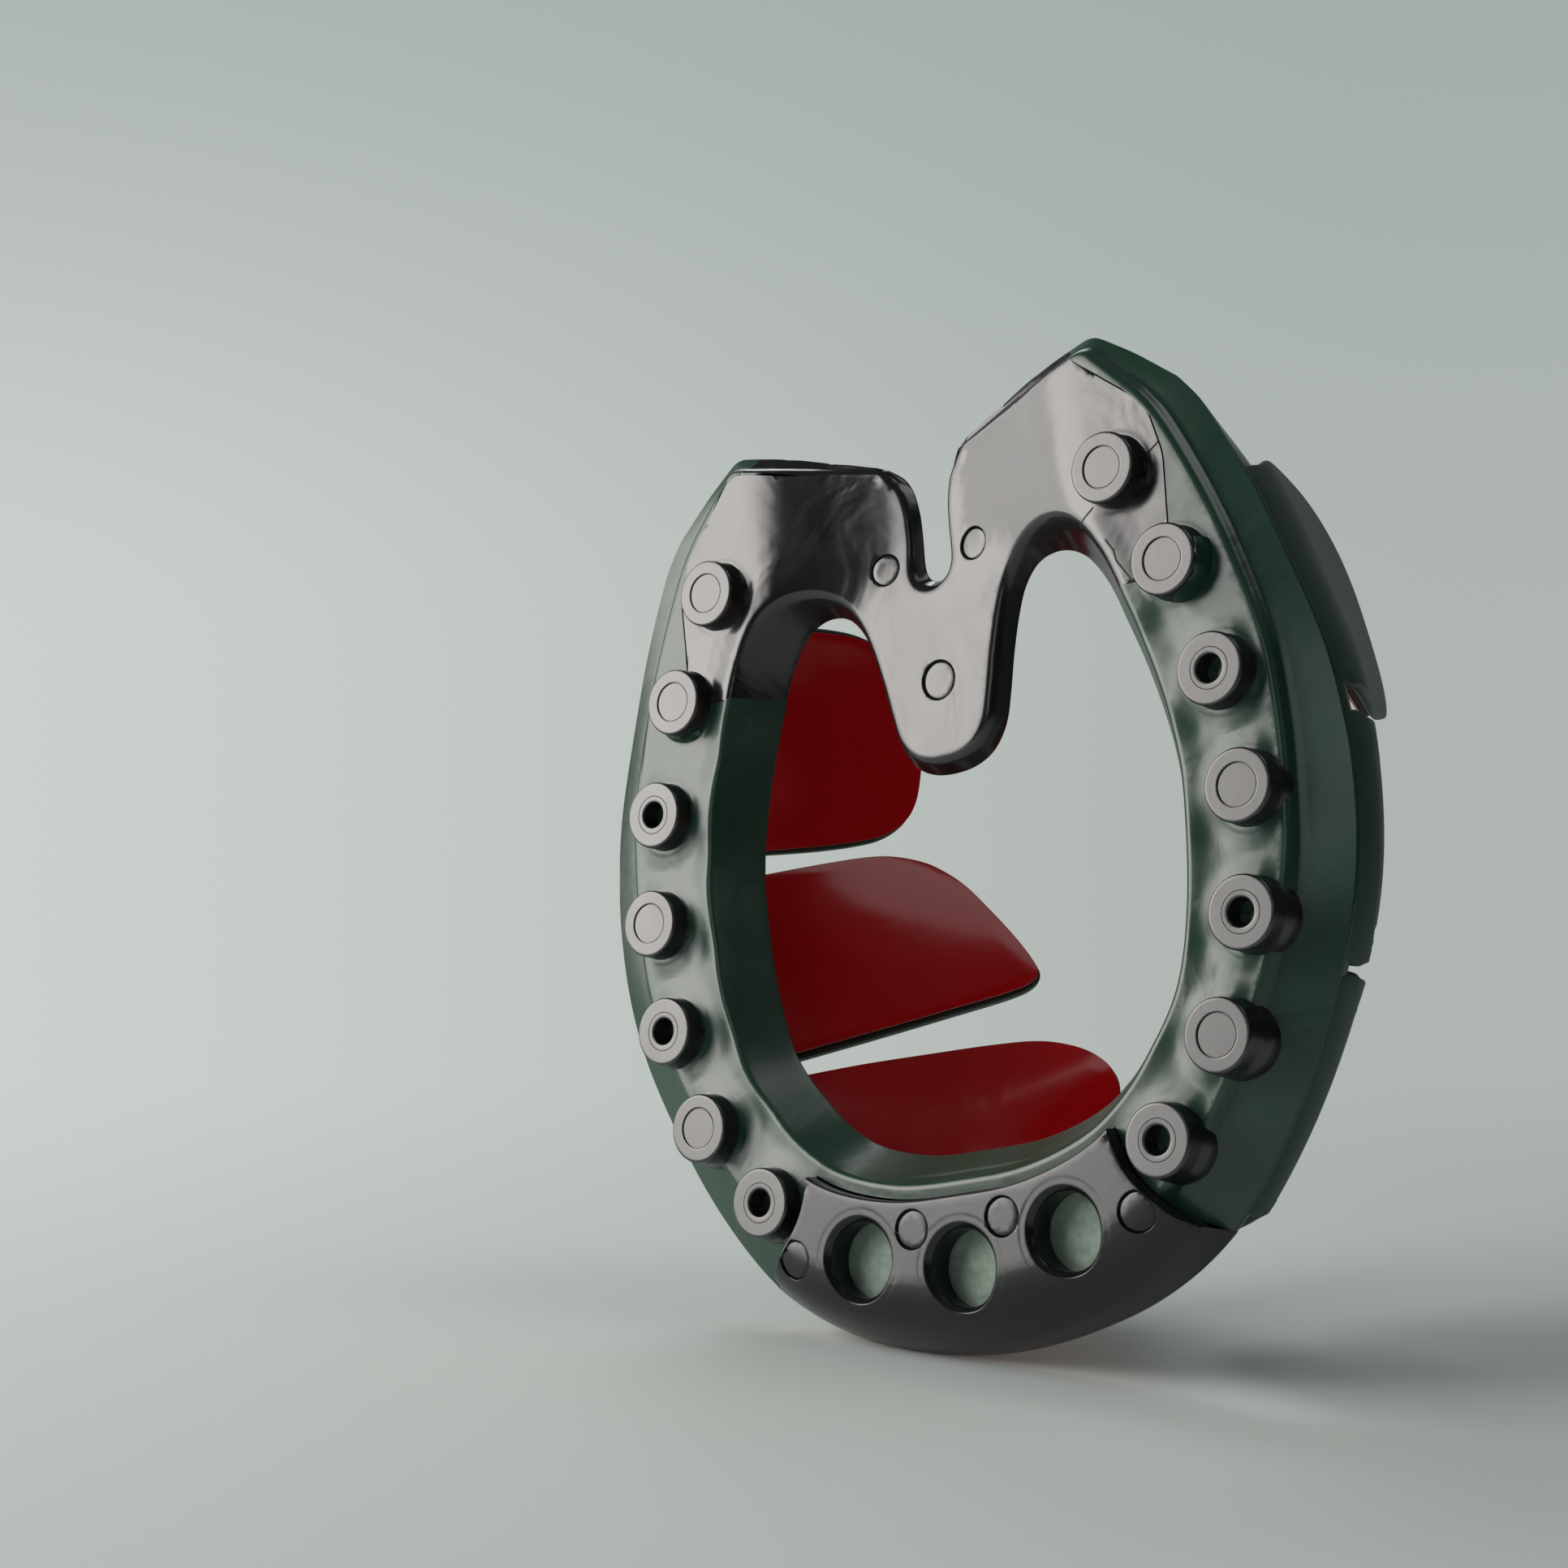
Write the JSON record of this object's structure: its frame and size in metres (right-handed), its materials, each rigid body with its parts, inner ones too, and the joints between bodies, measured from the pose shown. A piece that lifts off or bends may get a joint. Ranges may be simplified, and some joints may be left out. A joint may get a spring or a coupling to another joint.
{
  "type": "plastic horseshoe",
  "caption": "Glue-on plastic horseshoe with a studded tread, a frog tongue, a hard toe cap and bendable side flaps that carry adhesive pads under red release liners.",
  "frame": {"origin": "under the middle of the shoe, on the plane of the stud faces, halfway between toe and heels and between the two sides", "axes": "+Z from the ground towards the hoof, +Y from the toe towards the heels, X across the shoe"},
  "size_m": [0.1298, 0.14, 0.064],
  "materials": {
    "core_plastic": "satin charcoal",
    "sole_plastic": "satin dark green",
    "flap_plastic": "matt forest green",
    "pad_foam": "matt foam tape",
    "liner_film": "glossy red film"
  },
  "bodies": {
    "shoe": {"tread_core": "core_plastic", "sole_body": "sole_plastic", "toe_cap": "core_plastic"},
    "heel_tab_left": {"heel_flap_left": "flap_plastic", "heel_pad_left": "pad_foam"},
    "heel_film_left": {"heel_liner_left": "liner_film"},
    "heel_tab_right": {"heel_flap_right": "flap_plastic", "heel_pad_right": "pad_foam"},
    "heel_film_right": {"heel_liner_right": "liner_film"},
    "middle_tab_left": {"middle_flap_left": "flap_plastic", "middle_pad_left": "pad_foam"},
    "middle_film_left": {"middle_liner_left": "liner_film"},
    "middle_tab_right": {"middle_flap_right": "flap_plastic", "middle_pad_right": "pad_foam"},
    "middle_film_right": {"middle_liner_right": "liner_film"},
    "toe_tab_left": {"toe_flap_left": "flap_plastic", "toe_pad_left": "pad_foam"},
    "toe_film_left": {"toe_liner_left": "liner_film"},
    "toe_tab_right": {"toe_flap_right": "flap_plastic", "toe_pad_right": "pad_foam"},
    "toe_film_right": {"toe_liner_right": "liner_film"}
  },
  "joints": [
    {"name": "heel_hinge_left", "type": "hinge", "parent": "shoe", "child": "heel_tab_left", "pos_m": [0.05988, 0.0289, 0.0113], "axis": [-0.2896, 0.9572, 0], "range_deg": [-1, 22], "stiffness_Nm_per_rad": 0.08},
    {"name": "heel_hinge_right", "type": "hinge", "parent": "shoe", "child": "heel_tab_right", "pos_m": [-0.05988, 0.0289, 0.0113], "axis": [-0.2896, -0.9572, 0], "range_deg": [-1, 22], "stiffness_Nm_per_rad": 0.08},
    {"name": "middle_hinge_left", "type": "hinge", "parent": "shoe", "child": "middle_tab_left", "pos_m": [0.06428, -0.00863, 0.0113], "axis": [0.1407, 0.9901, 0], "range_deg": [-1, 22], "stiffness_Nm_per_rad": 0.08},
    {"name": "middle_hinge_right", "type": "hinge", "parent": "shoe", "child": "middle_tab_right", "pos_m": [-0.06428, -0.00863, 0.0113], "axis": [0.1407, -0.9901, 0], "range_deg": [-1, 22], "stiffness_Nm_per_rad": 0.08},
    {"name": "toe_hinge_left", "type": "hinge", "parent": "shoe", "child": "toe_tab_left", "pos_m": [0.05135, -0.04179, 0.0113], "axis": [0.5349, 0.8449, 0], "range_deg": [-1, 22], "stiffness_Nm_per_rad": 0.08},
    {"name": "toe_hinge_right", "type": "hinge", "parent": "shoe", "child": "toe_tab_right", "pos_m": [-0.05135, -0.04179, 0.0113], "axis": [0.5349, -0.8449, 0], "range_deg": [-1, 22], "stiffness_Nm_per_rad": 0.08},
    {"name": "heel_peel_left", "type": "slide", "parent": "heel_tab_left", "child": "heel_film_left", "axis": [-1, 0, 0], "range_m": [0, 0.004]},
    {"name": "heel_peel_right", "type": "slide", "parent": "heel_tab_right", "child": "heel_film_right", "axis": [1, 0, 0], "range_m": [0, 0.004]},
    {"name": "middle_peel_left", "type": "slide", "parent": "middle_tab_left", "child": "middle_film_left", "axis": [-0.9511, 0.309, 0], "range_m": [0, 0.004]},
    {"name": "middle_peel_right", "type": "slide", "parent": "middle_tab_right", "child": "middle_film_right", "axis": [0.9511, 0.309, 0], "range_m": [0, 0.004]},
    {"name": "toe_peel_left", "type": "slide", "parent": "toe_tab_left", "child": "toe_film_left", "axis": [-0.93, 0.3676, 0], "range_m": [0, 0.004]},
    {"name": "toe_peel_right", "type": "slide", "parent": "toe_tab_right", "child": "toe_film_right", "axis": [0.93, 0.3676, 0], "range_m": [0, 0.004]}
  ]
}
